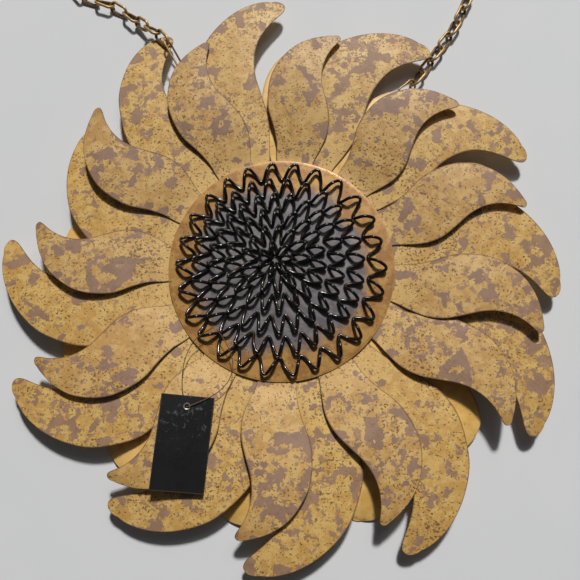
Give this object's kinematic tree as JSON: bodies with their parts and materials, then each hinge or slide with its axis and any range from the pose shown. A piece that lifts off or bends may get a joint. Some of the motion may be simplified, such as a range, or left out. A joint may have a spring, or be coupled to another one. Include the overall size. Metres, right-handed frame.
{
  "type": "metal sunflower wall hanging",
  "caption": "Sheet-metal sunflower for a wall: layered swept petals, a disc with crowned wire rings for seeds, a hanging chain and a blank tag.",
  "frame": {"origin": "middle of the footprint, on the surface the piece lies on; the flower's own axis is at x 3.37 mm, y -47.84 mm", "axes": "+Z out of the flower's face, +Y from the flower towards its hanging chain, which is up on a wall"},
  "size_m": [0.559, 0.6746, 0.0362],
  "materials": {
    "petal_paint": "satin ochre paint with mauve-brown blotches and dark specks",
    "back_petal_paint": "satin plain ochre paint",
    "seed_disc_paint": "orange-brown lacquer fading to a dark grey middle",
    "wire_paint": "glossy black lacquer",
    "chain_metal": "antique brass with dark recesses",
    "tag_card": "smooth black card, blank",
    "eyelet_metal": "dull pale metal",
    "string_fibre": "thin brown thread"
  },
  "bodies": {
    "root": {"back_petal_01": "back_petal_paint", "back_petal_02": "back_petal_paint", "back_petal_03": "back_petal_paint", "back_petal_04": "back_petal_paint", "back_petal_05": "back_petal_paint", "back_petal_06": "back_petal_paint", "back_petal_07": "back_petal_paint", "back_petal_08": "back_petal_paint", "back_petal_09": "back_petal_paint", "back_petal_10": "back_petal_paint", "back_petal_11": "back_petal_paint", "back_petal_12": "back_petal_paint", "middle_petal_01": "petal_paint", "middle_petal_02": "petal_paint", "middle_petal_03": "petal_paint", "middle_petal_04": "petal_paint", "middle_petal_05": "petal_paint", "middle_petal_06": "petal_paint", "middle_petal_07": "petal_paint", "middle_petal_08": "petal_paint", "middle_petal_09": "petal_paint", "middle_petal_10": "petal_paint", "middle_petal_11": "petal_paint", "middle_petal_12": "petal_paint", "front_petal_01": "petal_paint", "front_petal_02": "petal_paint", "front_petal_03": "petal_paint", "front_petal_04": "petal_paint", "front_petal_05": "petal_paint", "front_petal_06": "petal_paint", "front_petal_07": "petal_paint", "front_petal_08": "petal_paint", "front_petal_09": "petal_paint", "front_petal_10": "petal_paint", "front_petal_11": "petal_paint", "front_petal_12": "petal_paint", "seed_disc": "seed_disc_paint", "wire_ring_1": "wire_paint", "wire_ring_2": "wire_paint", "wire_ring_3": "wire_paint", "wire_ring_4": "wire_paint", "wire_ring_5": "wire_paint", "wire_ring_6": "wire_paint", "left_hanging_ring": "chain_metal", "right_hanging_ring": "chain_metal", "chain_run_01": "chain_metal", "chain_run_02": "chain_metal", "chain_run_03": "chain_metal", "chain_run_04": "chain_metal", "chain_run_05": "chain_metal", "chain_run_06": "chain_metal", "chain_run_07": "chain_metal", "chain_run_08": "chain_metal", "chain_run_09": "chain_metal", "chain_run_10": "chain_metal", "chain_run_11": "chain_metal", "hang_tag": "tag_card", "tag_eyelet": "eyelet_metal", "tag_string": "string_fibre"}
  },
  "joints": []
}
